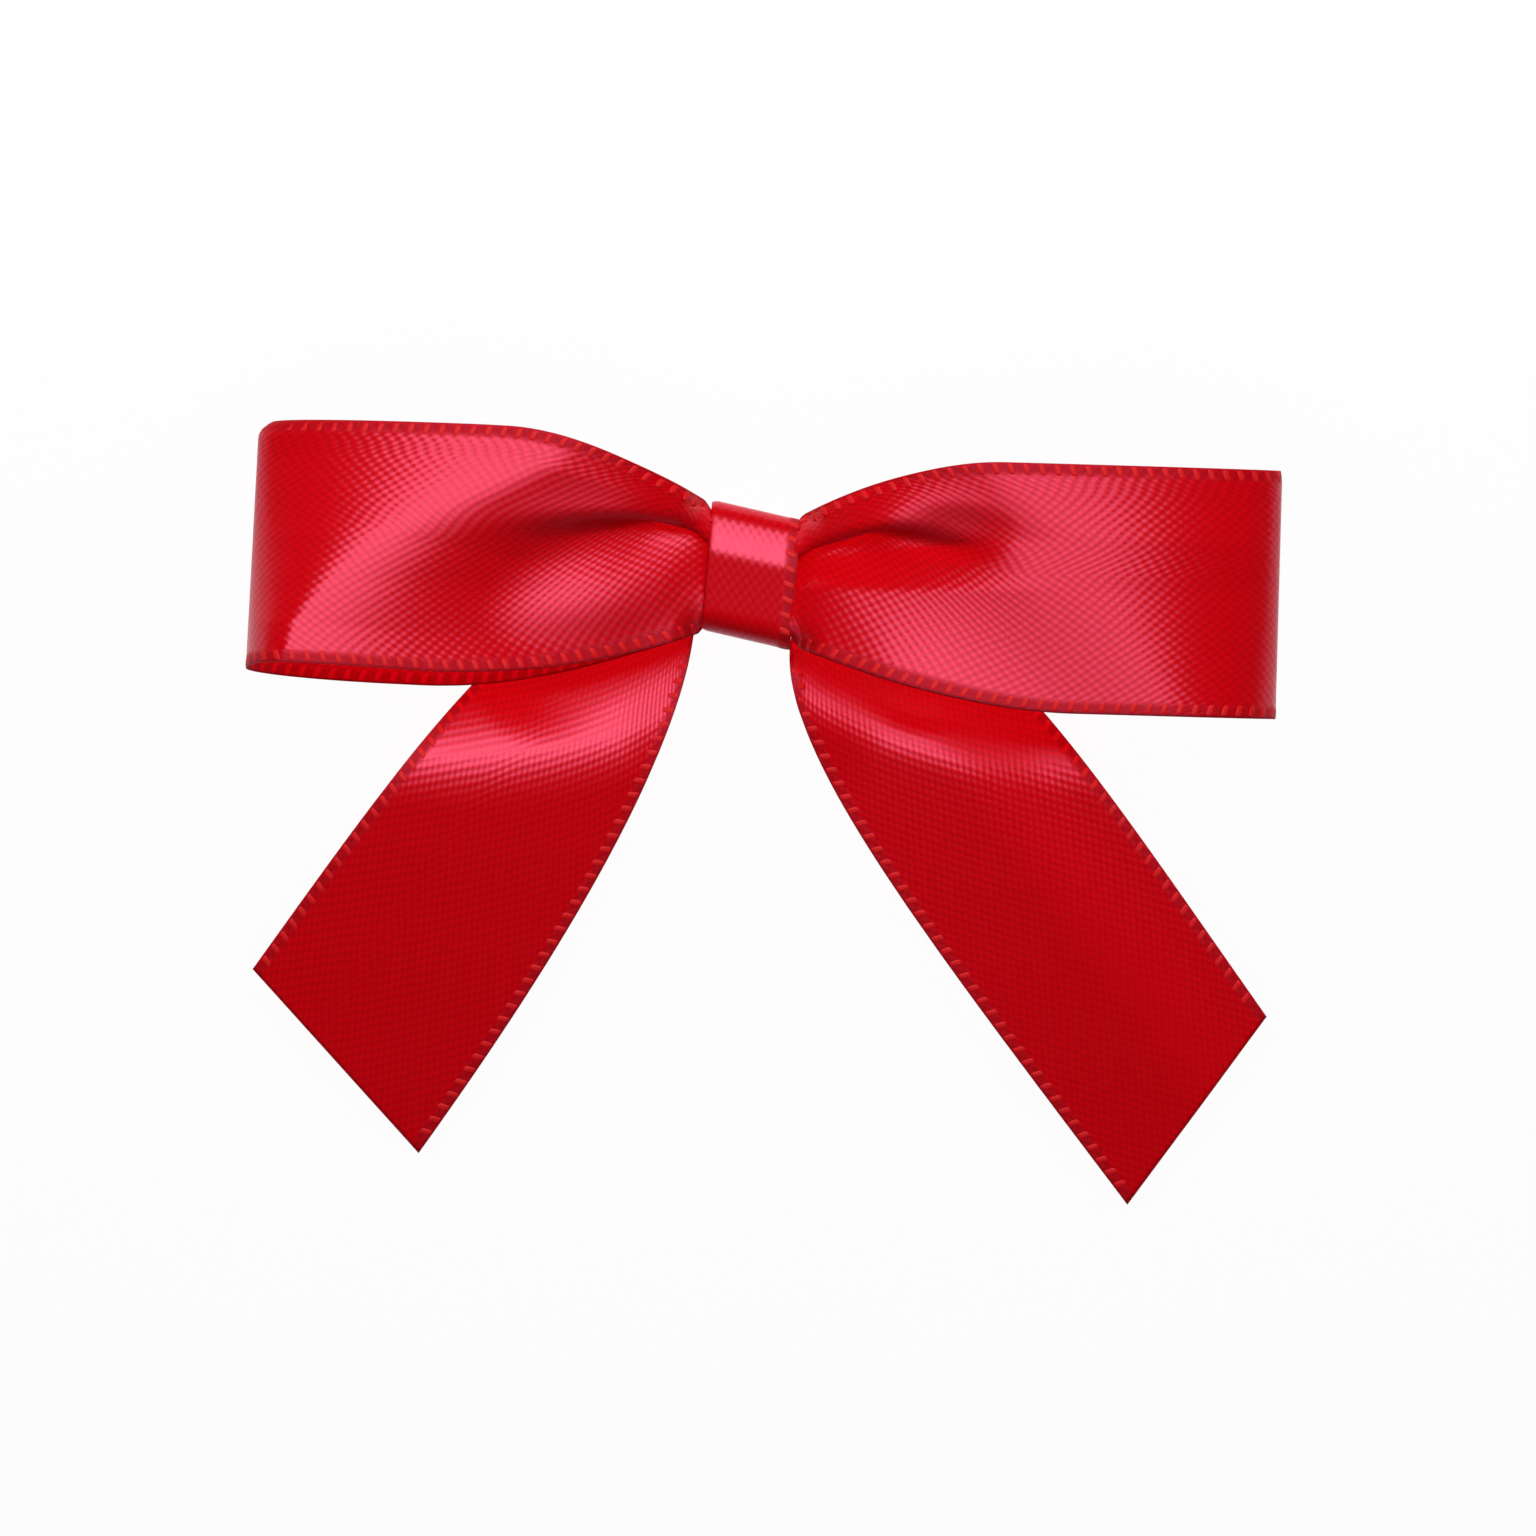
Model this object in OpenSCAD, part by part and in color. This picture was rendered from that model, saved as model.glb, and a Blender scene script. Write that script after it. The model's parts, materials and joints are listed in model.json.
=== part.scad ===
// Pre-made gift bow: two satin loops and two tails gathered under a narrow centre band.
// Millimetres. The bow lies on its back: X is its length, Y is up in the front view, Z comes
// out of the front, and the origin is under the knot on the face that it rests on.

/* [Ribbon] */
// Width of the satin ribbon of the loops and tails
ribbon_w = 16; // [12:0.5:22]
// Thickness of the satin ribbon
ribbon_t = 0.22; // [0.16:0.01:0.28]
// How far the one pleat folds back on itself where the ribbon is gathered, in degrees
pleat_fold = 210; // [190:1:214]

/* [Centre band] */
// Width of the band, along the bow's length
band_w = 5.8; // [5.2:0.1:8]
// Height of the band in the front view
band_h = 8.2; // [7.4:0.1:10]
// Thickness of the band's ribbon
band_t = 0.3; // [0.2:0.02:0.4]
// Rounding of the band's four long corners, measured outside
band_corner = 2.6; // [1.8:0.1:3.4]
// Clockwise turn of the band in the front view, in degrees
band_turn = 9; // [0:1:12]
// Half the length of the lap that closes the band behind the knot
band_lap = 2.0; // [1.2:0.1:2.4]

/* [Loops] */
// Reach of the left loop, from the knot's middle to its end fold
left_reach = 31.9; // [28:0.1:38]
// Reach of the right loop
right_reach = 33.6; // [28:0.1:38]
// Upward tilt of the left loop in the front view, in degrees
left_tilt = 2.8; // [-6:0.1:6]
// Upward tilt of the right loop
right_tilt = -1.8; // [-6:0.1:6]
// Roll of the left loop about its own length, lower edge forward, in degrees
left_roll = 7; // [0:0.5:9]
// Height of a loop's open belly, from wall to wall
loop_deep = 8.6; // [7:0.1:11]
// Length over which the gathers spread out to the full ribbon width
gather_run = 15.5; // [12:0.5:20]

/* [Tails] */
// Length of the left tail along its middle, from the knot's middle to the cut
left_tail_len = 40.9; // [34:0.1:48]
// Length of the right tail
right_tail_len = 44.4; // [36:0.1:52]
// Angle of the left tail below the bow's length, in degrees
left_tail_dip = 54.2; // [48:0.2:60]
// Angle of the right tail
right_tail_dip = 54.8; // [48:0.2:60]
// Slant of the left tail's cut, inner corner longer, in degrees
left_cut = 12.4; // [0:0.2:30]
// Slant of the right tail's cut
right_cut = 17.5; // [0:0.2:30]
// Rise of each tail where it comes out from behind its loop
tail_hump = 3.8; // [2:0.1:4.4]

/* [Pad] */
// Length of the foam pad, along the bow's length
pad_l = 12; // [9:0.5:13]
// Width of the foam pad
pad_w = 6.6; // [5:0.1:7]
// Rounding of the pad's corners
pad_corner = 1; // [0.4:0.1:2]
// Thickness of the foam pad
pad_t = 1.0; // [0.8:0.1:1.6]
// Thickness of the release liner
liner_t = 0.12; // [0.1:0.01:0.2]
// Length of the liner's pull tab past the pad
tab_l = 3; // [2:0.1:3.5]
// Width of the pull tab
tab_w = 3; // [2:0.1:3.6]

/* [Hidden] */
$fn = 64;
// Clearances between pieces
neck_gap = 0.3;      // gathers to the band's wall
neck_edge = 0.5;     // a gathered neck's edges behind the front of the band's bore
neck_flare = 1.0;    // spread of the gathers as they leave the band, each way
flare_run = 1.2;     // length of that spread
layer_gap = 0.3;     // one gathered layer to the next
neck_in = 0.6;       // how far a gathered neck reaches into the band
waist_half = 1.15;   // half the length of the bound waists inside the band
flex_gap = 0.5;      // slit across a tail where its tip flexes
bind_gap = 0.08;     // one bound layer to the next
glue_t = 0.15;       // glue film in the band's lap
glue_r = 1.5;        // radius of the glue spot
tail_out = 0.4;      // straight run of a tail past the mouth of the band
tail_lift = 0.75;    // a tail's low run above the top of the pad
belly_lift = 1.25;   // a loop's back wall above a tail's low run
tip_lift = 0.35;     // a tail's cut end above the resting face
tail_narrow = 0.95;  // share of the ribbon's width that a tail shows when seen from the front
tail_shift = 1.1;    // outward shift of a tail's middle line from the mouth of the band
bind_room = 0.75;    // room for the thread beyond each edge of a waist

// Binding thread
thread_d = 0.3;
thread_turns = 2.25;
thread_pitch = 0.75;
thread_ring = 6;
thread_steps = 26;
thread_square = 0.4; // power that squares the thread's turns to the waists

// Grid of the ribbon surfaces
ramp_top = 2;        // steps across, above the pleat
pleat_steps = 14;    // steps across the pleat
ramp_bottom = 3;     // steps across, below the pleat
across_n = ramp_top + pleat_steps + ramp_bottom;
wall_n = 10;         // steps along a loop's wall
fold_n = 10;         // steps round a loop's end fold
tail_n = 14;         // steps along a tail to its flex line
tip_n = 4;           // steps along a tail's tip
wall_crowd = 1.3;    // power that crowds a wall's steps towards the knot
tail_crowd = 1.15;   // the same along a tail

// The pleat lies a third of the way down the ribbon, and narrows as it runs out
pleat_at = 0.35;
pleat_span = 0.42;
pleat_span_far = 0.2;
fold_power = 1.6;    // how slowly the pleat starts to open
span_power = 3;      // how soon it narrows

// The gathers spread out sooner along the upper edge of a loop than along the lower one
gather_skew = 0.16;
spread_power = 1.8;  // how fast they spread at first
rise_power = 1.5;    // how slowly a wall starts to rise from the knot

// The crest runs slantwise: near the band along the upper edge, near the end along the lower edge
upper_crest = 0.44;
lower_crest = 0.72;

// Edge lines of a tail: their leads out of the band, as shares of the ribbon's width, and the share
// of the length from which they run straight
outer_lead = [0.7, -0.25];
inner_lead = [0, -0.4];
tail_bend = 0.49;

// A tail sinks behind its loop, rises past the loop's lower edge and falls to its cut end
sink_run = 0.5;      // share of the ribbon's width over which it sinks from the neck
hump_from = 1.2;     // distance below the loop's edge at which it starts to rise
hump_run = 0.4;      // share of the ribbon's width over which it rises
fall_from = 0.35;    // share of the ribbon's width below the loop's edge at which it starts to fall
fall_run = 0.5;      // share of its length over which it falls
fall_power = 1.2;

// Shares of a tail's length at which its pleat has opened out and at which its tip flexes
tail_open = 0.5;
flex_at = 0.7;

function ease(q) = (1 - cos(180 * min(1, max(0, q)))) / 2;
function mix(a, b, q) = a + (b - a) * q;
function bezier(p, t) =
    let (s = 1 - t)
    s * s * s * p[0] + 3 * s * s * t * p[1] + 3 * s * t * t * p[2] + t * t * t * p[3];

// Shares of the ribbon's width at which its surface is sampled
function across(span) = let (a = pleat_at - span / 2, b = pleat_at + span / 2) concat(
    [for (i = [0:ramp_top - 1]) a * i / ramp_top],
    [for (i = [0:pleat_steps - 1]) a + span * i / pleat_steps],
    [for (i = [0:ramp_bottom]) b + (1 - b) * i / ramp_bottom]);

// Slope of the ribbon across its width at share f, with one pleat folded back by "fold" degrees
function pleat_angle(f, fold, span) =
    abs(f - pleat_at) >= span / 2 ? 0 : -fold * (1 + cos(360 * (f - pleat_at) / span)) / 2;

// Unit cross-section from edge to edge: [share of the chord, height as a share of the chord]
function section(fold, span) = let (
    f = across(span),
    raw = [for (i = 0, p = [0, 0]; i <= across_n;
        p = i < across_n ? p + (f[i + 1] - f[i]) * direction((f[i] + f[i + 1]) / 2, fold, span) : p,
        i = i + 1) p],
    c = raw[across_n])
    [for (p = raw) [p * c, c.x * p.y - c.y * p.x] / (c * c)];
function direction(f, fold, span) =
    let (a = pleat_angle(f, fold, span)) [cos(a), sin(a)];

// The pleat opens out along the gathers: q runs from 0 at the band to 1 where they end
function fold_at(q) = q >= 1 ? 0 : pleat_fold * (1 - pow(max(0, q), fold_power));
function span_at(q) = mix(pleat_span_far, pleat_span, pow(1 - min(1, max(0, q)), span_power));
function gathered(q) = section(fold_at(q), span_at(q));

// Height of the gathered neck inside the band, and the depth that its pleat takes up
bore_corner = band_corner - band_t;
corner_loss = bore_corner - sqrt(pow(bore_corner, 2) - pow(max(0, bore_corner - neck_edge), 2));
neck_h = band_h - 2 * (band_t + corner_loss + neck_gap);
neck_section = gathered(0);
neck_top = max([for (p = neck_section) p.y]);
neck_low = min([for (p = neck_section) p.y]);
neck_deep = neck_h * (neck_top - neck_low) + ribbon_t;
neck_mid = neck_h * (neck_top + neck_low) / 2;

// Levels, from the resting face up
pad_z = liner_t;
lap_z = pad_z + pad_t;
wall_z = lap_z + band_t + glue_t;
bore_z = wall_z + band_t;
bore_deep = 3 * neck_deep + 2 * layer_gap + 2 * neck_gap;
front_z = bore_z + bore_deep + band_t;
tail_neck_z = bore_z + neck_gap + neck_deep / 2;
back_neck_z = tail_neck_z + neck_deep + layer_gap;
front_neck_z = back_neck_z + neck_deep + layer_gap;
tail_low_z = lap_z + tail_lift;
belly_z = tail_low_z + belly_lift;
crest_z = belly_z + loop_deep;
belly_mid_z = (belly_z + crest_z) / 2;

// Distance from the knot's middle to the band's mouth along the bow's length
mouth_x = band_w / 2 / cos(band_turn);

// Closed solid of a ribbon: a grid of points on its middle surface, thickened both ways
module ribbon_solid(grid) {
    n = len(grid) - 1;
    m = len(grid[0]) - 1;
    normals = [for (i = [0:n]) [for (j = [0:m])
        let (along = grid[min(n, i + 1)][j] - grid[max(0, i - 1)][j],
            over = grid[i][min(m, j + 1)] - grid[i][max(0, j - 1)],
            up = cross(along, over))
        up / norm(up)]];
    points = [for (side = [1, -1]) for (i = [0:n]) for (j = [0:m])
        grid[i][j] + side * ribbon_t / 2 * normals[i][j]];
    function at(side, i, j) = (side * (n + 1) + i) * (m + 1) + j;
    function quad(a, b, c, d) = [[a, b, c], [a, c, d]];
    sheets = [for (i = [0:n - 1]) for (j = [0:m - 1]) each concat(
        quad(at(0, i, j), at(0, i, j + 1), at(0, i + 1, j + 1), at(0, i + 1, j)),
        quad(at(1, i, j), at(1, i + 1, j), at(1, i + 1, j + 1), at(1, i, j + 1)))];
    long_rims = [for (i = [0:n - 1]) each concat(
        quad(at(0, i, 0), at(0, i + 1, 0), at(1, i + 1, 0), at(1, i, 0)),
        quad(at(0, i + 1, m), at(0, i, m), at(1, i, m), at(1, i + 1, m)))];
    end_rims = [for (j = [0:m - 1]) each concat(
        quad(at(0, 0, j + 1), at(0, 0, j), at(1, 0, j), at(1, 0, j + 1)),
        quad(at(0, n, j), at(0, n, j + 1), at(1, n, j + 1), at(1, n, j)))];
    polyhedron(points, concat(sheets, long_rims, end_rims));
}

// A loop in its own frame: x runs out from the knot, y up the ribbon's width
function loop_half(x, run) = let (
    out = x - mouth_x - neck_gap,
    q = min(1, max(0, out / run)),
    root = neck_h / 2 + neck_flare * ease(out / flare_run))
    mix(ribbon_w / 2, root, pow(1 - q, spread_power));
function upper_half(x) = loop_half(x, gather_run * (1 - gather_skew));
function lower_half(x) = loop_half(x, gather_run * (1 + gather_skew));
function loop_start(y, lean) = mouth_x - neck_in + y * tan(lean);

// Wall and fold outline of one edge, seen along the ribbon's width: [x, z] for stage 0 to 3
function loop_outline(stage, start, crest_x, reach) =
    stage < 1 ? [mix(start, crest_x, stage), mix(front_neck_z, crest_z, belly_rise(stage))]
    : stage < 2 ? [crest_x + (reach - crest_x) * sin(180 * (stage - 1)),
        belly_mid_z + loop_deep / 2 * cos(180 * (stage - 1))]
    : [mix(start, crest_x, 3 - stage), mix(back_neck_z, belly_z, belly_rise(3 - stage))];
function belly_rise(q) = pow(sin(90 * q), rise_power);

loop_stages = concat(
    [for (i = [0:wall_n - 1]) pow(i / wall_n, wall_crowd)],
    [for (i = [0:fold_n - 1]) 1 + i / fold_n],
    [for (i = [0:wall_n]) 3 - pow(1 - i / wall_n, wall_crowd)]);

function loop_point(stage, share, lean, reach) = let (
    y0 = neck_h / 2,
    upper = loop_outline(stage, loop_start(y0, lean), upper_crest * reach, reach),
    lower = loop_outline(stage, loop_start(-y0, lean), lower_crest * reach, reach),
    face = stage < 1.5 ? 1 : -1,
    q = ((upper.x + lower.x) / 2 - mouth_x + neck_in) / gather_run,
    cut = gathered(q)[share],
    top = upper_half(upper.x),
    bottom = -lower_half(lower.x),
    base = mix(upper, lower, cut.x),
    pleat = (top - bottom) * cut.y - neck_mid * (1 - ease(q)))
    [base.x, mix(top, bottom, cut.x), base.y + face * pleat];

// Rolls a point of a loop about the loop's own middle, more so away from the knot
function rolled(p, roll) = let (
    a = roll * ease((p.x - mouth_x) / gather_run),
    y = p.y,
    z = p.z - belly_mid_z)
    [p.x, y * cos(a) + z * sin(a), belly_mid_z - y * sin(a) + z * cos(a)];

// Turns a point of a loop or tail frame to its side of the bow
function placed(p, side, tilt, rise) =
    [side * (p.x * cos(tilt) - p.y * sin(tilt)), p.x * sin(tilt) + p.y * cos(tilt) + rise, p.z];

// Height at which a loop's middle line leaves the knot
function loop_rise(side, tilt) = -side * mouth_x * sin(band_turn) - mouth_x * sin(tilt);

module loop(side, reach, tilt, roll) {
    lean = side * band_turn + tilt;
    rise = loop_rise(side, tilt);
    grid = [for (s = loop_stages) [for (j = [0:across_n])
        placed(rolled(loop_point(s, j, lean, reach), roll), side, tilt, rise)]];
    ribbon_solid(side > 0 ? grid : [for (row = grid) [for (j = [0:across_n]) row[across_n - j]]]);
}

// Edge lines of a tail in the front view, from the mouth of the band to the cut
function tail_edge(outer, side, length, dip, slant) = let (
    along = [side * cos(dip), -sin(dip)],
    out = [side * sin(dip), cos(dip)],
    mouth = [side * mouth_x * cos(band_turn), -side * mouth_x * sin(band_turn)],
    shift = out * mouth + tail_shift,
    half = tail_narrow * ribbon_w / 2,
    w = shift + outer * half,
    end_u = length - outer * half * tan(slant),
    start = tail_exit(outer, side, tail_out),
    lead = outer > 0 ? outer_lead : inner_lead)
    [start, start + ribbon_w * [side * lead.x, lead.y],
        end_u * tail_bend * along + w * out, end_u * along + w * out];

// Point of a tail's edge in the mouth of the band, "past" the mouth by so much
function tail_exit(outer, side, past) = let (
    x = side * (band_w / 2 + past),
    y = outer * neck_h / 2)
    [x * cos(band_turn) + y * sin(band_turn), y * cos(band_turn) - x * sin(band_turn)];

// Height of a tail's middle surface: down from the neck, along under the loop, and over the hump
function tail_height(p, side, tilt, length) = let (
    rise = loop_rise(side, tilt),
    x = max(mouth_x, side * p.x),
    below = x * sin(tilt) + rise - lower_half(x) - p.y,
    far = norm([max(0, side * p.x - mouth_x), p.y / 2]),
    hump = ease((below - hump_from) / (hump_run * ribbon_w)),
    fall = min(1, max(0, (below - fall_from * ribbon_w) / (fall_run * length))))
    tail_low_z + (tail_neck_z - tail_low_z) * (1 - ease(far / (sink_run * ribbon_w)))
    + hump * mix(tail_hump, tip_lift - tail_low_z, pow(fall, fall_power));

function tail_row(t, side, length, dip, slant, tilt) = let (
    outer = t < 0 ? tail_exit(1, side, -neck_in) : bezier(tail_edge(1, side, length, dip, slant), t),
    inner = t < 0 ? tail_exit(-1, side, -neck_in) : bezier(tail_edge(-1, side, length, dip, slant), t),
    q = max(0, t / tail_open),
    cut = gathered(q),
    wide = norm(outer - inner))
    [for (c = cut) let (p = mix(outer, inner, c.x))
        [p.x, p.y, tail_height(p, side, tilt, length) + wide * c.y - neck_mid * (1 - ease(q))]];

module tail_strip(side, length, dip, slant, tilt, stops) {
    grid = [for (t = stops) tail_row(t, side, length, dip, slant, tilt)];
    ribbon_solid(side > 0 ? grid : [for (row = grid) [for (j = [0:across_n]) row[across_n - j]]]);
}

function tail_stops(length) = concat([-1],
    [for (i = [0:tail_n]) pow(i / tail_n, tail_crowd) * (flex_at - flex_gap / 2 / length)]);
function tip_stops(length) =
    [for (i = [0:tip_n]) mix(flex_at + flex_gap / 2 / length, 1, i / tip_n)];

// Rounded rectangle from plain circles and squares
module rounded(w, h, r) {
    square([w - 2 * r, h], center = true);
    square([w, h - 2 * r], center = true);
    for (x = [-1, 1]) for (y = [-1, 1]) translate([x * (w / 2 - r), y * (h / 2 - r)]) circle(r);
}

// Wall of the band round the knot, seen along the bow's length, from back level "from" to the front
module band_wall(from) {
    deep = front_z - from;
    translate([0, from + deep / 2]) difference() {
        rounded(band_h, deep, band_corner);
        rounded(band_h - 2 * band_t, deep - 2 * band_t, band_corner - band_t);
    }
}

// Brings an outline seen along the bow's length into the turned frame of the knot
module through_knot(length) {
    rotate([0, 0, -band_turn]) translate([-length / 2, 0, 0])
        rotate([90, 0, 90]) linear_extrude(length) children();
}

module centre_band() {
    big = band_h + front_z;
    color([0.75, 0.03, 0.06]) through_knot(band_w) {
        intersection() {
            band_wall(lap_z);
            union() {
                translate([0, -big]) square(2 * big);
                translate([-band_lap, lap_z - band_t]) square([band_lap, 2 * band_t]);
            }
        }
        intersection() {
            band_wall(wall_z);
            union() {
                translate([-2 * big, -big]) square(2 * big);
                translate([0, wall_z - band_t / 2]) square([band_lap, 2 * band_t]);
            }
        }
    }
}

module band_glue() {
    color([0.9, 0.85, 0.7]) translate([0, 0, lap_z + band_t]) cylinder(r = glue_r, h = glue_t);
}

// Bound waist of a ribbon inside the band: the neck's cross-section drawn straight through
waist_h = neck_h - 2 * bind_room;
waist_deep = waist_h * (neck_top - neck_low) + ribbon_t;
waist_mid = waist_h * (neck_top + neck_low) / 2;
knot_z = bore_z + bore_deep / 2;

// The three waists lie one on another: layer -1 is the tails', 0 the lapped ends' and 1 the front's
module waist(layer, face) {
    level = knot_z + layer * (waist_deep + bind_gap);
    line = [for (c = neck_section)
        [waist_h * (0.5 - c.x), level + face * (waist_h * c.y - waist_mid)]];
    ways = [for (i = [0:across_n])
        let (d = line[min(across_n, i + 1)] - line[max(0, i - 1)]) [-d.y, d.x] / norm(d)];
    through_knot(2 * waist_half) polygon(concat(
        [for (i = [0:across_n]) line[i] + ribbon_t / 2 * ways[i]],
        [for (i = [0:across_n]) line[across_n - i] - ribbon_t / 2 * ways[across_n - i]]));
}

module front_waist() { color([0.8, 0.02, 0.06]) waist(1, 1); }
module back_waist() { color([0.78, 0.02, 0.06]) waist(0, -1); }
module tail_waist() { color([0.76, 0.02, 0.06]) waist(-1, 1); }

// Thread wound round the three waists, one unbroken tube
thread_half_h = waist_h / 2 + thread_d / 2 + bind_room / 2;
thread_half_z = 1.5 * waist_deep + thread_d / 2 + bind_room / 2;
function rounder(v) = sign(v) * pow(abs(v), thread_square);
function thread_point(a) = [
    thread_pitch * (a / 360 - thread_turns / 2),
    thread_half_h * rounder(cos(a)),
    knot_z + thread_half_z * rounder(sin(a))];

module binding_thread() {
    n = ceil(thread_turns * thread_steps);
    line = [for (i = [0:n]) thread_point(360 * (i + 0.5) / thread_steps)];
    points = [for (i = [0:n]) let (
        d = line[min(n, i + 1)] - line[max(0, i - 1)],
        ahead = d / norm(d),
        sideways = [1, 0, 0] - ahead.x * ahead,
        u = sideways / norm(sideways),
        v = cross(ahead, u))
        each [for (k = [0:thread_ring - 1])
            line[i] + thread_d / 2 * (cos(360 * k / thread_ring) * u + sin(360 * k / thread_ring) * v)]];
    function at(i, k) = i * thread_ring + k % thread_ring;
    sides = [for (i = [0:n - 1]) for (k = [0:thread_ring - 1]) each
        [[at(i, k), at(i + 1, k), at(i + 1, k + 1)], [at(i, k), at(i + 1, k + 1), at(i, k + 1)]]];
    caps = [for (k = [1:thread_ring - 2]) each
        [[at(0, 0), at(0, k), at(0, k + 1)], [at(n, 0), at(n, k + 1), at(n, k)]]];
    color([0.7, 0.05, 0.08]) rotate([0, 0, -band_turn]) polyhedron(points, concat(sides, caps));
}

module left_loop() { color([0.84, 0.03, 0.08]) loop(-1, left_reach, left_tilt, left_roll); }
module right_loop() { color([0.84, 0.03, 0.08]) loop(1, right_reach, right_tilt, 0); }

module left_tail() {
    color([0.72, 0.02, 0.05])
        tail_strip(-1, left_tail_len, left_tail_dip, left_cut, left_tilt, tail_stops(left_tail_len));
}
module left_tail_tip() {
    color([0.68, 0.02, 0.05])
        tail_strip(-1, left_tail_len, left_tail_dip, left_cut, left_tilt, tip_stops(left_tail_len));
}
module right_tail() {
    color([0.72, 0.02, 0.05])
        tail_strip(1, right_tail_len, right_tail_dip, right_cut, right_tilt, tail_stops(right_tail_len));
}
module right_tail_tip() {
    color([0.68, 0.02, 0.05])
        tail_strip(1, right_tail_len, right_tail_dip, right_cut, right_tilt, tip_stops(right_tail_len));
}

module foam_pad() {
    color([0.95, 0.95, 0.92]) translate([0, 0, pad_z]) rotate([0, 0, -band_turn])
        linear_extrude(pad_t) rounded(pad_l, pad_w, pad_corner);
}

module release_liner() {
    color([0.97, 0.9, 0.6]) rotate([0, 0, -band_turn]) linear_extrude(liner_t) {
        rounded(pad_l, pad_w, pad_corner);
        translate([tab_w / 2 - tab_l - pad_l / 2, 0]) {
            circle(tab_w / 2);
            translate([0, -tab_w / 2]) square([tab_l, tab_w]);
        }
    }
}

centre_band();
band_glue();
binding_thread();
front_waist();
back_waist();
tail_waist();
left_loop();
right_loop();
left_tail();
left_tail_tip();
right_tail();
right_tail_tip();
foam_pad();
release_liner();
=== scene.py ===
"""Satin gift bow: ribbon loops and tails gathered under a folded centre band, seen from the front.

The shapes are worked out in millimetres in the part's own frame, and written in metres.
"""
import json
import math

import bmesh
import bpy
import numpy as np
from mathutils import Matrix, Vector

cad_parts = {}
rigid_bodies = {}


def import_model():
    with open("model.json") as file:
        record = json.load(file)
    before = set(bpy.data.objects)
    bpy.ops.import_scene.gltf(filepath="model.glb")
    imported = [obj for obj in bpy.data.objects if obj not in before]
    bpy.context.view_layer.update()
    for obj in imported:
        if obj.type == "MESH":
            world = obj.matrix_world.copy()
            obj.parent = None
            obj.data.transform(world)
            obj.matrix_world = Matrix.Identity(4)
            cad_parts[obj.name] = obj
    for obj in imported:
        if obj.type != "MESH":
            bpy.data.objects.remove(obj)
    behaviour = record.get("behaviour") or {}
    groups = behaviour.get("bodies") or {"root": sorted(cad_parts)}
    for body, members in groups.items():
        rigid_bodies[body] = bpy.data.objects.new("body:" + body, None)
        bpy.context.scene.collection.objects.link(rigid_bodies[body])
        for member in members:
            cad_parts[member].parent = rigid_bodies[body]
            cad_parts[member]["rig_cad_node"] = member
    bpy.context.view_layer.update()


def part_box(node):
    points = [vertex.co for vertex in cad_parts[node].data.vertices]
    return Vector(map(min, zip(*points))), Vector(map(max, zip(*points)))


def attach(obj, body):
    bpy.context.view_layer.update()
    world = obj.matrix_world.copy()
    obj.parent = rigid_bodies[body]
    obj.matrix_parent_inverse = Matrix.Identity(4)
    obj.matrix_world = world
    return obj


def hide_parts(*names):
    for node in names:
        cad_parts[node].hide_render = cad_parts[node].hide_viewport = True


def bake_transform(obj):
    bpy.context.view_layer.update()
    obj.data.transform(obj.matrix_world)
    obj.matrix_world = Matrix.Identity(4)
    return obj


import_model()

MM = 0.001

# Ribbon
RIBBON_W = 16.0
CLOTH_T = 0.15

# Centre band and the glue film in its lap
BAND_W = 5.8
BAND_H = 8.4
BAND_T = 0.3
BAND_CORNER = 2.6
BAND_TURN = math.radians(9)
BAND_LAP = 2.0
GLUE_T = 0.15

# Loops
LEFT_REACH = 32.15
RIGHT_REACH = 33.95
LEFT_TILT = math.radians(2.8)
RIGHT_TILT = math.radians(-1.6)
LEFT_ROLL = math.radians(7)
LOOP_DEEP = 8.6
GATHER_RUN = 15.5
GATHER_SKEW = 0.16
GATHER_POWER = 1.8
UPPER_CREST = 0.44
LOWER_CREST = 0.72
BACK_CLIMB = 1.5

# Tails
LEFT_TAIL_LEN = 41.3
RIGHT_TAIL_LEN = 45.0
LEFT_TAIL_DIP = math.radians(54.2)
RIGHT_TAIL_DIP = math.radians(54.8)
LEFT_CUT = math.radians(12.4)
RIGHT_CUT = math.radians(17.5)

# Levels above the resting face
TAIL_LIFT = 0.75
BELLY_LIFT = 1.25
TIP_LIFT = 0.35
PAD_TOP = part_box("foam_pad")[1].z / MM
BAND_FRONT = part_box("centre_band")[1].z / MM
BORE_BACK = PAD_TOP + 2 * BAND_T + GLUE_T
LAYER = (BAND_FRONT - BAND_T - BORE_BACK) / 3
TAIL_NECK_Z = BORE_BACK + LAYER / 2
BACK_NECK_Z = TAIL_NECK_Z + LAYER
FRONT_NECK_Z = BACK_NECK_Z + LAYER
TAIL_LOW_Z = PAD_TOP + TAIL_LIFT
BELLY_Z = TAIL_LOW_Z + BELLY_LIFT
CREST_Z = BELLY_Z + LOOP_DEEP
BELLY_MID_Z = (BELLY_Z + CREST_Z) / 2

# Necks in the band's mouth
MOUTH_X = BAND_W / 2 / math.cos(BAND_TURN)
NECK_HALF = 2.63
LOOP_NECK_HALF = 3.55
NECK_FLARE = 0.6
FLARE_RUN = 0.9

# The bound waists inside the band
WAIST_HALF = 1.15
WAIST_HALF_H = 1.88
WAIST_LAYER = 1.36
KNOT_Z = BORE_BACK + 1.5 * LAYER

# Rows sampled along a loop, a tail and a tail's way through the band, their even spacing after that, and the rows
# along a waist
LOOP_ROWS = 600
TAIL_ROWS = 500
NECK_ROWS = 30
ROW_STEP = 0.3
WAIST_ROWS = 9

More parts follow.
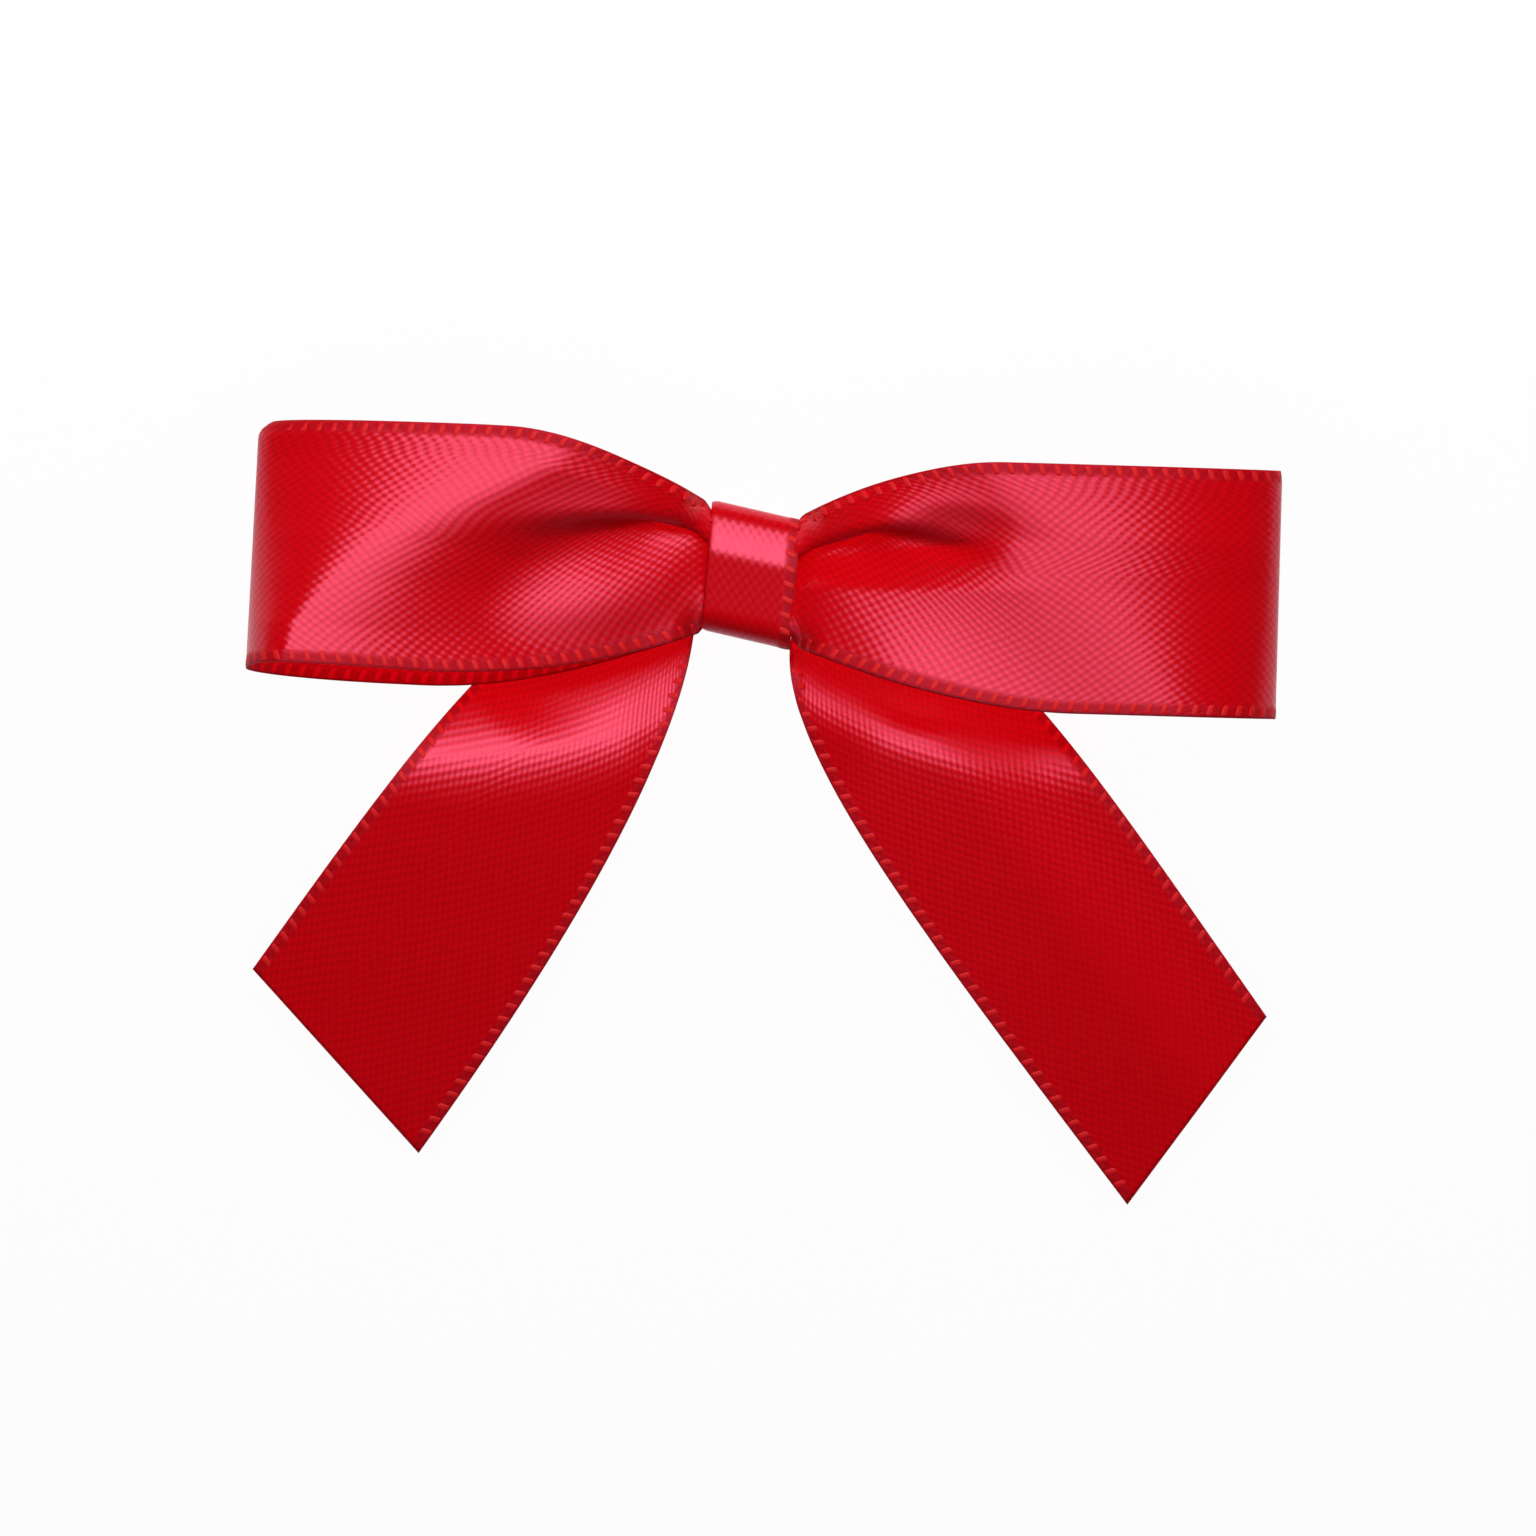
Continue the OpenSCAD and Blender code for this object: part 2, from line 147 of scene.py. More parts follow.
# Shares across a ribbon, closer together along the selvedges
EDGE_SHARES = [0, 0.012, 0.03, 0.05]
MIDDLE_SHARES = list(np.linspace(0.068, 0.932, 66))
ACROSS = np.array(EDGE_SHARES + MIDDLE_SHARES + [1 - e for e in reversed(EDGE_SHARES)])


def ease(q):
    """A smooth step from 0 to 1 while q runs from 0 to 1."""
    return (1 - np.cos(np.pi * np.clip(q, 0, 1))) / 2


def mix(a, b, q):
    return a + (b - a) * q


def bump(q):
    """A smooth rise from 0 to 1 and back while q runs from -1 to 1."""
    return np.where(np.abs(q) < 1, (1 + np.cos(np.pi * np.clip(q, -1, 1))) / 2, 0)


def dimple(x, y, at, size, turn=0.0):
    """A smooth round or oval rise of height 1 over a place in the bow's plane."""
    c, s = math.cos(math.radians(turn)), math.sin(math.radians(turn))
    u, v = x - at[0], y - at[1]
    return bump(np.hypot((u * c + v * s) / size[0], (v * c - u * s) / size[1]))


def in_band(x, y):
    """A place across and along the band, turned with it into the bow's plane."""
    return (x * math.cos(BAND_TURN) + y * math.sin(BAND_TURN),
            y * math.cos(BAND_TURN) - x * math.sin(BAND_TURN))


def travelled(points):
    """Lengths along a line of points, from its first one."""
    return np.concatenate([[0], np.cumsum(np.linalg.norm(np.diff(points, axis=0), axis=1))])


# The pleat of the gathers: its place and its spans at the band and far from it, as shares of the width, its fold
# in degrees at the band, and the power by which it unfolds
PLEAT_AT = 0.35
PLEAT_SPAN = 0.42
PLEAT_SPAN_FAR = 0.2
PLEAT_FOLD = 210.0
UNFOLD_POWER = 1.6
SECTION_STEPS = 500


def gathered(q, shares):
    """Cross-section of the gathers at share q of their run: places along and heights over the chord."""
    open_q = min(1.0, max(0.0, q))
    fold = PLEAT_FOLD * (1 - open_q ** UNFOLD_POWER) ** 2
    span = mix(PLEAT_SPAN_FAR, PLEAT_SPAN, (1 - open_q) ** 3)
    fine = np.linspace(0, 1, SECTION_STEPS + 1)
    middle = (fine[1:] + fine[:-1]) / 2
    angle = -np.radians(fold) * bump((middle - PLEAT_AT) / (span / 2))
    raw_x = np.concatenate([[0], np.cumsum(np.cos(angle))])
    raw_y = np.concatenate([[0], np.cumsum(np.sin(angle))])
    cx, cy = raw_x[-1], raw_y[-1]
    size = cx * cx + cy * cy
    along = (raw_x * cx + raw_y * cy) / size
    height = (cx * raw_y - cy * raw_x) / size
    return np.interp(shares, fine, along), np.interp(shares, fine, height)


NECK_HEIGHTS = gathered(0, np.linspace(0, 1, 200))[1]
NECK_MID = (NECK_HEIGHTS.max() + NECK_HEIGHTS.min()) / 2


def neck_open(x):
    """How far a gathered ribbon has opened from its bound waist to the neck in the band's mouth."""
    return ease((x - WAIST_HALF) / (MOUTH_X - WAIST_HALF))


def loop_half(x, run):
    """Half the width of a loop's gathers at that place outward, where they open over that run."""
    out = x - MOUTH_X
    q = np.clip(out / run, 0, 1)
    flare = NECK_FLARE * ease((out + FLARE_RUN / 2) / FLARE_RUN)
    root = mix(WAIST_HALF_H, LOOP_NECK_HALF, neck_open(x)) + flare
    return mix(RIBBON_W / 2, root, (1 - q) ** GATHER_POWER)


def loop_rise(side, tilt):
    """How far a tilted loop is moved up to meet the turned band's mouth."""
    return -side * MOUTH_X * math.sin(BAND_TURN) - MOUTH_X * math.sin(tilt)


# Share of the band's corner that a neck follows, and how far outside the mouth that fades
BORE_SHARE = 0.6
BORE_FADE = 1.8
# Share of the width that the rounded upper corner of a loop's end takes
CORNER_SHARE = 0.06
# The folds' depth follows the neck's width at the band, and the loop's own from 1 / FOLD_RATE of the gathers on
FOLD_RATE = 3


def bore_drop(y):
    """How far the band's rounded corner pushes a neck back at that height."""
    r = BAND_CORNER - BAND_T
    over = np.clip(np.abs(y) - (BAND_H / 2 - BAND_CORNER), 0, r)
    return r - np.sqrt(r * r - over * over)


def loop_row(stage, shares, side, reach, tilt, roll, corner, crowd, crest, climb, relief):
    """One row across a loop, for stage 0 at the front waist, 1 to 2 round the fold and 3 at the back waist."""
    front = stage < 1.5
    face = 1 if front else -1
    step = min(stage, 3 - stage, 1)
    around = math.pi * (stage - 1)
    near = (np.interp([0, 1], *crest) if front else np.array([UPPER_CREST, LOWER_CREST])) * reach
    edge = mix(WAIST_HALF, near, step)
    if step == 1:
        edge = near + (reach - near) * math.sin(around)
    q = (edge.mean() - MOUTH_X) / GATHER_RUN
    along, height = gathered(q, shares)
    along = along ** (1 + crowd[0] * (1 - ease((q - crowd[1]) / (1 - crowd[1]))))
    top = loop_half(edge[0], GATHER_RUN * (1 - GATHER_SKEW))
    bottom = -loop_half(edge[1], GATHER_RUN * (1 + GATHER_SKEW))
    bent = np.interp(along, *crest) if front else mix(UPPER_CREST, LOWER_CREST, along)
    crest_x = bent * reach
    far = reach - corner * np.maximum(0, 1 - along / CORNER_SHARE) ** 2
    x = mix(WAIST_HALF, crest_x, step)
    waist_z = KNOT_Z + (WAIST_LAYER if front else 0)
    neck_z = mix(waist_z, FRONT_NECK_Z if front else BACK_NECK_Z, neck_open(x))
    power = np.interp(along, *climb) if front else BACK_CLIMB
    z = mix(neck_z, CREST_Z if front else BELLY_Z, math.sin(math.pi / 2 * step) ** power)
    if step == 1:
        x = crest_x + (far - crest_x) * math.sin(around)
        z = np.full_like(x, BELLY_MID_Z + LOOP_DEEP / 2 * math.cos(around))
    y = mix(top, bottom, along)
    deep = mix(2 * NECK_HALF, top - bottom, ease(q * FOLD_RATE))
    z = z + face * deep * (height - NECK_MID * (1 - ease(q)))
    z = z - face * BORE_SHARE * bore_drop(y) * neck_open(x) * (1 - ease((x - MOUTH_X) / BORE_FADE))
    if front:
        for depth, at, size, angle in relief:
            z = z + depth * dimple(x, y, at, size, angle)
    turn = roll * ease((x - MOUTH_X) / GATHER_RUN)
    over = z - BELLY_MID_Z
    y, z = y * np.cos(turn) + over * np.sin(turn), BELLY_MID_Z - y * np.sin(turn) + over * np.cos(turn)
    px = side * (x * math.cos(tilt) - y * math.sin(tilt))
    py = x * math.sin(tilt) + y * math.cos(tilt) + loop_rise(side, tilt)
    return np.stack([px, py, z], axis=1)


# Edges of a tail: its shift outward, half its width at the bend and at the cut, and the leads out of the band
TAIL_SHIFT = {-1: 0.84, 1: 1.1}
TAIL_HALF = {-1: (7.84, 7.84), 1: (7.6, 7.2)}
OUTER_LEAD = {-1: (0.74, -0.25), 1: (0.74, -0.25)}
INNER_LEAD = {-1: (0.0, -0.4), 1: (-0.15, -0.4)}
# How far outside the band a tail's curve starts, the share of its length where the curve's third control point
# lies, and the share of the curve over which the gathers open
TAIL_OUT = 0.4
TAIL_BEND = 0.49
TAIL_OPEN = 0.3


def tail_exit(outer, side, past, half):
    """Where the outer (1) or inner (-1) edge of a tail lies, that far past the band's side."""
    return np.array(in_band(side * (BAND_W / 2 + past), outer * half))


def tail_edge(outer, side, length, dip, cut):
    """Control points of a tail's outer (1) or inner (-1) edge, from the band to the cut."""
    along = np.array([side * math.cos(dip), -math.sin(dip)])
    out = np.array([side * math.sin(dip), math.cos(dip)])
    mouth = np.array([side * MOUTH_X * math.cos(BAND_TURN), -side * MOUTH_X * math.sin(BAND_TURN)])
    middle = out @ mouth + TAIL_SHIFT[side]
    bend, tip = TAIL_HALF[side]
    end = length - outer * bend * math.tan(cut)
    inward = bend - tip
    start = tail_exit(outer, side, TAIL_OUT, NECK_HALF)
    lead = (OUTER_LEAD if outer > 0 else INNER_LEAD)[side]
    return [start, start + RIBBON_W * np.array([side * lead[0], lead[1]]),
            end * TAIL_BEND * along + (middle + outer * bend) * out,
            end * along + (middle + inward + outer * tip) * out]


def bezier(points, t):
    s = 1 - t
    return s ** 3 * points[0] + 3 * s * s * t * points[1] + 3 * s * t * t * points[2] + t ** 3 * points[3]


# Where below the loop a tail starts to fall to its tip, and the share of its length and the power of that fall
FALL_FROM = 5.0
FALL_SHARE = 0.66
FALL_POWER = 1.2
# Where across a tail its hump gets lower, and how far out that takes
OUTER_FROM = 3.0
OUTER_RUN = 6.0
# Share of the ribbon's width over which a tail comes down from its neck
NECK_SHARE = 0.5


def tail_height(x, y, side, tilt, length, dip, hump, relief):
    """Height of a tail: from its neck to its low run, over a hump that starts behind the loop, and to its tip."""
    hump_from, hump_run, hump_top, outer_loss = hump
    out = np.maximum(MOUTH_X, side * x)
    lower = loop_half(out, GATHER_RUN * (1 + GATHER_SKEW))
    below = out * math.sin(tilt) + loop_rise(side, tilt) - lower - y
    far = np.hypot(np.maximum(0, side * x - MOUTH_X), y / 2)
    outer = side * x * math.sin(dip) + y * math.cos(dip)
    top = hump_top * (1 - outer_loss * ease((outer - OUTER_FROM) / OUTER_RUN))
    risen = ease((below - hump_from) / hump_run)
    fall = np.clip((below - FALL_FROM) / (FALL_SHARE * length), 0, 1)
    z = (TAIL_LOW_Z + (TAIL_NECK_Z - TAIL_LOW_Z) * (1 - ease(far / (NECK_SHARE * RIBBON_W)))
         + risen * mix(top, TIP_LIFT - TAIL_LOW_Z, fall ** FALL_POWER))
    for depth, at, size, angle in relief:
        z = z + depth * dimple(side * x, y, at, size, angle)
    return z


def tail_row(t, shares, side, length, dip, cut, tilt, hump, relief):
    """One row across a tail, for t -1 at the waist, 0 just outside the band and 1 at the cut."""
    if t < 0:
        past = TAIL_OUT + (BAND_W / 2 + TAIL_OUT - WAIST_HALF) * t
        half = mix(WAIST_HALF_H, NECK_HALF, ease(1 + t))
        outer, inner = (tail_exit(o, side, past, half) for o in (1, -1))
    else:
        outer, inner = (bezier(tail_edge(o, side, length, dip, cut), t) for o in (1, -1))
    q = max(0.0, t / TAIL_OPEN)
    along, height = gathered(q, shares)
    x = mix(outer[0], inner[0], along)
    y = mix(outer[1], inner[1], along)
    wide = np.linalg.norm(outer - inner)
    z = tail_height(x, y, side, tilt, length, dip, hump, relief) + wide * (height - NECK_MID * (1 - ease(q)))
    z = z + (KNOT_Z - WAIST_LAYER - TAIL_NECK_Z) * (1 - ease(1 + t))
    return np.stack([x, y, z], axis=1)


def waist_rows(layer, face):
    """Rows of a bound waist, by its layer in the knot and the way that its pleat faces."""
    along, height = gathered(0, ACROSS)
    y = WAIST_HALF_H * (1 - 2 * along)
    z = KNOT_Z + layer * WAIST_LAYER + face * 2 * WAIST_HALF_H * (height - NECK_MID)
    return np.stack([np.stack([*in_band(x, y), z], axis=1)
                     for x in np.linspace(-WAIST_HALF, WAIST_HALF, WAIST_ROWS)])


def evenly(rows, step):
    """Resamples rows of points so that the strip's middle line has even steps of about that length."""
    travel = travelled(rows[:, rows.shape[1] // 2])
    count = max(2, round(travel[-1] / step)) + 1
    stops = np.linspace(0, travel[-1], count)
    flat = rows.reshape(len(rows), -1)
    out = np.stack([np.interp(stops, travel, flat[:, k]) for k in range(flat.shape[1])], axis=1)
    return out.reshape(count, rows.shape[1], 3)


def mesh_of(bm, name):
    """A mesh with the contents of a finished bmesh, which is freed."""
    mesh = bpy.data.meshes.new(name)
    bm.to_mesh(mesh)
    bm.free()
    return mesh


def shown(name, mesh, material):
    """An object of the scene with that mesh and material."""
    piece = bpy.data.objects.new(name, mesh)
    bpy.context.scene.collection.objects.link(piece)
    piece.data.materials.append(material)
    return piece


def ribbon_piece(name, rows, material, shares=ACROSS, first=0.0, width=RIBBON_W):
    """A ribbon through rows of points, with its length and width in millimetres as its UV map."""
    count, across = rows.shape[:2]
    bm = bmesh.new()
    uv_layer = bm.loops.layers.uv.new("ribbon")
    bmesh.ops.create_grid(bm, x_segments=count - 1, y_segments=across - 1, size=1, calc_uvs=False)
    travel = first + np.stack([travelled(rows[:, j]) for j in range(across)], axis=1)
    place = {}
    for v in bm.verts:
        i = round((v.co.x + 1) / 2 * (count - 1))
        j = round((v.co.y + 1) / 2 * (across - 1))
        place[v] = (i, j)
        v.co = Vector(rows[i, j]) * MM
    for face in bm.faces:
        face.smooth = True
        for corner in face.loops:
            i, j = place[corner.vert]
            corner[uv_layer].uv = (travel[i, j], shares[j] * width)
    piece = shown(name, mesh_of(bm, name), material)
    solid = piece.modifiers.new("cloth", "SOLIDIFY")
    solid.thickness = CLOTH_T * MM
    solid.offset = 0
    return piece


# Rungs of the selvedge: spacing, half-sizes along, across and over the ribbon, slant, distance from the edge and
# bevel; the gaps, in spacings, that are left at the ends of a strip and at a slanted cut
RUNG_PITCH = 1.0
RUNG_HALF = (0.23, 0.4, 0.1)
RUNG_SLANT = 0.3
RUNG_INSET = 0.04
RUNG_BEVEL = 0.6
END_GAP = 0.2
CUT_GAP = 0.8
# Columns of a ribbon's edges, each with one a little way in, and how far ahead a rung looks for its direction
EDGE_COLUMNS = ((0, 3), (-1, -4))
LOOK_AHEAD = 0.2


def rung_mesh():
    """A block with rounded edges, two units long on each side."""
    bm = bmesh.new()
    bmesh.ops.create_cube(bm, size=2)
    bmesh.ops.bevel(bm, geom=bm.edges[:], offset=RUNG_BEVEL, segments=2, profile=0.5, affect="EDGES", material=-1)
    return mesh_of(bm, "rung")


def selvedge_piece(name, rows, material, first=0.0, end_gap=END_GAP):
    """Raised slanted rungs along both edges of a ribbon."""
    rung = rung_mesh()
    bm = bmesh.new()
    for edge, inner in EDGE_COLUMNS:
        line, inside = rows[:, edge], rows[:, inner]
        travel = travelled(line) + first
        stops = np.arange(math.ceil(travel[0] / RUNG_PITCH + END_GAP), travel[-1] / RUNG_PITCH - end_gap)
        for stop in stops * RUNG_PITCH:
            at, into, ahead = (np.array([np.interp(stop + d, travel, p[:, k]) for k in range(3)])
                               for p, d in ((line, 0), (inside, 0), (line, LOOK_AHEAD)))
            t = Vector(ahead - at).normalized()
            b = Vector(into - at)
            b = (b - b.dot(t) * t).normalized()
            n = t.cross(b)
            size = [h * MM for h in RUNG_HALF]
            turn = Matrix((t * size[0], (b + t * RUNG_SLANT) * size[1], n * size[2])).transposed().to_4x4()
            where = Matrix.Translation((Vector(at) + b * (RUNG_HALF[1] + RUNG_INSET)) * MM)
            one = rung.copy()
            one.transform(where @ turn)
            bm.from_mesh(one)
            bpy.data.meshes.remove(one)
    for face in bm.faces:
        face.smooth = True
    bmesh.ops.recalc_face_normals(bm, faces=bm.faces)
    return shown(name, mesh_of(bm, name), material)


class Graph:
    """A material's nodes and links, with a short way to add them."""

    def __init__(self, name):
        self.mat = bpy.data.materials.new(name)
        self.mat.use_nodes = True
        self.nodes = self.mat.node_tree.nodes
        self.shader = self.nodes["Principled BSDF"]

    def add(self, kind, **inputs):
        node = self.nodes.new("ShaderNode" + kind)
        for key, value in inputs.items():
            self.set(node.inputs[int(key[1:]) if key[0] == "_" else key.replace("_", " ")], value)
        return node

    def set(self, socket, value):
        if isinstance(value, bpy.types.NodeSocket):
            self.mat.node_tree.links.new(value, socket)
        else:
            socket.default_value = value

    def math(self, how, a, b=0.0, c=0.0):
        node = self.add("Math", _0=a, _1=b, _2=c)
        node.operation = how
        return node.outputs[0]

    def mixed(self, share, a, b):
        node = self.add("MixRGB", Fac=share, Color1=a, Color2=b)
        return node.outputs[0]


# The satin's floats: spacing along and across the ribbon, height of their crowns on the ribbons and on the band,
# and shares of the base colour between them, where shade is painted, and on their crowns, where light is painted
FLOAT_L = 0.78
FLOAT_W = 0.29
FLOAT_RISE = 0.018
BAND_FLOAT_RISE = 0.008
FLOAT_PAINTED_SHADE = 0.82
FLOAT_PAINTED_LIGHT = 1.05
# The woven border under the rungs: where it is whole and where it ends, from the edge, and the share of the colour
# that paints shade there between the rungs
BORDER_WHOLE = 0.5
BORDER_END = 0.9
BORDER_PAINTED_SHADE = 0.7
SATIN_ROUGHNESS = 0.37
BORDER_ROUGHER = 0.35
SATIN_SHEEN = {
    "Metallic": 0.1,
    "Specular IOR Level": 0.5,
    "Anisotropic": 0.85,
    "Anisotropic Rotation": 0.25,
    "Specular Tint": (1.0, 0.5, 0.9, 1),
}


def satin(name, base, width, rise):
    """Satin weave on the ribbon map: long floats that shine across the length, with painted shade between them and
    painted light on their crowns, and a rougher woven selvedge with painted shade between its rungs.
    """
    g = Graph(name)
    uv = g.add("UVMap")
    uv.uv_map = "ribbon"
    axes = g.add("SeparateXYZ", Vector=uv.outputs[0])
    along, across = axes.outputs[0], axes.outputs[1]
    wave = g.math("MULTIPLY", g.math("COSINE", g.math("MULTIPLY", along, 2 * math.pi / FLOAT_L)),
                  g.math("COSINE", g.math("MULTIPLY", across, math.pi / FLOAT_W)))
    crown = g.math("MULTIPLY_ADD", wave, 0.5, 0.5)
    edge = g.math("MINIMUM", across, g.math("SUBTRACT", width, across))
    border = g.add("MapRange", _0=edge, _1=BORDER_WHOLE, _2=BORDER_END, _3=1.0, _4=0.0).outputs[0]
    # The thread colour below is the base colour with painted shade between the floats and painted light on their
    # crowns
    dark = tuple(FLOAT_PAINTED_SHADE * c for c in base)
    light = tuple(min(1.0, FLOAT_PAINTED_LIGHT * c) for c in base)
    thread = g.mixed(crown, (*dark, 1), (*light, 1))
    # Painted shade in the border between the rungs; the border is also rougher
    g.set(g.shader.inputs["Base Color"], g.mixed(border, thread, (*(BORDER_PAINTED_SHADE * c for c in base), 1)))
    g.set(g.shader.inputs["Roughness"], g.math("MULTIPLY_ADD", border, BORDER_ROUGHER, SATIN_ROUGHNESS))
    lift = g.add("Bump", Strength=1.0, Distance=rise * MM, Height=crown)
    g.set(g.shader.inputs["Normal"], lift.outputs[0])
    for socket, value in SATIN_SHEEN.items():
        g.shader.inputs[socket].default_value = value
    tangent = g.add("Tangent")
    tangent.direction_type = "UV_MAP"
    tangent.uv_map = "ribbon"
    g.set(g.shader.inputs["Tangent"], tangent.outputs[0])
    return g.mat


def plain(name, dark, light, scale, roughness, specular=0.5, height=0.0):
    """A matt material with a fine grain on object coordinates, and the grain's height in millimetres."""
    g = Graph(name)
    at = g.add("TexCoord").outputs["Object"]
    grain = g.add("TexNoise", Vector=at, Scale=scale, Detail=3.0)
    g.set(g.shader.inputs["Base Color"], g.mixed(grain.outputs["Fac"], (*dark, 1), (*light, 1)))
    g.shader.inputs["Roughness"].default_value = roughness
    g.shader.inputs["Specular IOR Level"].default_value = specular
    if height:
        lift = g.add("Bump", Strength=0.5, Distance=height * MM, Height=grain.outputs["Fac"])
        g.set(g.shader.inputs["Normal"], lift.outputs[0])
    return g.mat


RIBBON_RED = (0.56, 0.0006, 0.0035)
BAND_RED = (0.53, 0.0006, 0.0035)
ribbon_satin = satin("ribbon_satin", RIBBON_RED, RIBBON_W, FLOAT_RISE)
band_satin = satin("band_satin", BAND_RED, 2 * BAND_W, BAND_FLOAT_RISE)
selvedge_red = plain("selvedge_red", (0.5, 0.0006, 0.0035), (0.58, 0.001, 0.005), 2500, 0.6, specular=0.25)
thread_red = plain("thread_red", (0.35, 0.004, 0.01), (0.5, 0.012, 0.02), 6000, 0.6, height=0.04)
foam_white = plain("foam_white", (0.74, 0.74, 0.71), (0.88, 0.88, 0.85), 4000, 0.85, height=0.08)
liner_paper = plain("liner_paper", (0.86, 0.78, 0.5), (0.92, 0.85, 0.58), 900, 0.45)
glue_amber = plain("glue_amber", (0.8, 0.74, 0.58), (0.88, 0.83, 0.68), 700, 0.3)

# Crest of the front wall, as a share of the reach, at shares of the width from the top edge down
LEFT_CREST = ([0, 0.13, 0.31, 0.47, 0.64, 0.84, 1], [0.4, 0.44, 0.6, 0.73, 0.82, 0.9, 0.92])
RIGHT_CREST = ([0, 0.15, 0.3, 0.5, 0.75, 1], [0.46, 0.52, 0.6, 0.62, 0.7, 0.78])
# Power of the front wall's climb to its crest: the lower, the sooner it climbs
LEFT_CLIMB = ([0, 0.3, 0.6, 1], [1.5, 2.2, 2.6, 2.3])
RIGHT_CLIMB = ([0, 0.3, 0.5, 1], [1.5, 1.3, 0.65, 0.55])
# Hollows and swells: height, place outward and up from the middle of the knot, half-sizes and turn in degrees
LEFT_LOOP_RELIEF = [(1.0, (9.0, -1.8), (9.0, 4.5), -20)]
RIGHT_LOOP_RELIEF = [(-0.6, (12.8, 3.3), (4.8, 2.3), 0)]
LEFT_TAIL_RELIEF = [(-0.35, (13.6, -7.8), (4.5, 3.6), 0)]
RIGHT_TAIL_RELIEF = [(-0.6, (10.4, -7.2), (4.5, 3.2), -20)]
# Hump of a tail: where below the loop's edge it starts, its run, its height and the share lost at the outer edge
LEFT_HUMP = (-4.5, 13.0, 2.9, 0.0)
RIGHT_HUMP = (-3.5, 8.3, 2.6, 0.5)

# The two sides of the bow; corner is how far a loop's upper end corner is drawn in, and crowd how much the cloth
# crowds to the upper edge and the share of the gathers' run where that starts to fade
SIDES = {
    "left": dict(side=-1, reach=LEFT_REACH, tilt=LEFT_TILT, roll=LEFT_ROLL, corner=0.8, crowd=(0.65, 0.0),
                 crest=LEFT_CREST, climb=LEFT_CLIMB, loop_relief=LEFT_LOOP_RELIEF,
                 length=LEFT_TAIL_LEN, dip=LEFT_TAIL_DIP, cut=LEFT_CUT,
                 hump=LEFT_HUMP, tail_relief=LEFT_TAIL_RELIEF),
    "right": dict(side=1, reach=RIGHT_REACH, tilt=RIGHT_TILT, roll=0.0, corner=0.1, crowd=(0.5, 0.3),
                  crest=RIGHT_CREST, climb=RIGHT_CLIMB, loop_relief=RIGHT_LOOP_RELIEF,
                  length=RIGHT_TAIL_LEN, dip=RIGHT_TAIL_DIP, cut=RIGHT_CUT,
                  hump=RIGHT_HUMP, tail_relief=RIGHT_TAIL_RELIEF),
}
# Share of a tail's rows in its neck, and the column that carries the map's length from the neck to the tail
SPLIT = 0.13
MAP_COLUMN = 35
# Where a tail would bend, and half the run of that bend, as shares of its length; the bend spans made from them are
# not used
FLEX_AT = 0.595
FLEX_RUN = 0.1


def facing(rows, side):
    """Columns in the order that turns the ribbon's outer face to the front."""
    return rows[:, ::-1] if side > 0 else rows


waists = {}
for word, layer, face in (("front", 1, 1), ("back", 0, -1), ("tail", -1, 1)):
    waists[word] = ribbon_piece(word + "_waist_ribbon", waist_rows(layer, face)[:, ::-1], ribbon_satin)
    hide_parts(word + "_waist")
    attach(waists[word], "knot")

for word, s in SIDES.items():
    side = s["side"]
    mouth = Vector((side * math.cos(BAND_TURN), -side * math.sin(BAND_TURN), 0)) * MOUTH_X * MM
    rows = np.stack([loop_row(stage, ACROSS, side, s["reach"], s["tilt"], s["roll"], s["corner"],
                              s["crowd"], s["crest"], s["climb"], s["loop_relief"])
                     for stage in np.linspace(0, 3, LOOP_ROWS)])
    rows = facing(evenly(rows, ROW_STEP), side)
    loop = ribbon_piece(word + "_loop_ribbon", rows, ribbon_satin)
    rungs = selvedge_piece(word + "_loop_selvedge", rows, selvedge_red)
    for piece in (loop, rungs):
        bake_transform(piece)
    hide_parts(word + "_loop")

    stops = np.concatenate([np.linspace(-1, 0, NECK_ROWS)[:-1], np.linspace(0, 1, TAIL_ROWS)])
    rows = np.stack([tail_row(t, ACROSS, side, s["length"], s["dip"], s["cut"], s["tilt"],
                              s["hump"], s["tail_relief"])
                     for t in stops])
    rows = facing(evenly(rows, ROW_STEP), side)
    split = round(SPLIT * len(rows))
    along = Vector((side * math.cos(s["dip"]), -math.sin(s["dip"]), 0))
    flex = FLEX_AT * s["length"] * MM * along
    reach = FLEX_RUN * s["length"] * MM * along
    neck_bends = ("knot", word + "_tail", mouth, mouth + reach * 0.5)
    tail_bends = (word + "_tail", word + "_tail_tip", flex - reach, flex + reach)
    tail_first = float(travelled(rows[:, MAP_COLUMN])[split])
    pieces = [waists["tail"]] if word == "left" else []
    for part, some, first, end_gap, bends in (("tail_neck", rows[:split + 1], 0.0, END_GAP, neck_bends),
                                              ("tail", rows[split:], tail_first, CUT_GAP, tail_bends)):
        strip = ribbon_piece(word + "_" + part + "_ribbon", some, ribbon_satin, first=first)
        rungs = selvedge_piece(word + "_" + part + "_selvedge", some, selvedge_red, first=first, end_gap=end_gap)
        for piece in (strip, rungs):
            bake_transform(piece)
            pieces.append(piece)
    pieces.remove(strip)
    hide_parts(word + "_tail", word + "_tail_tip")


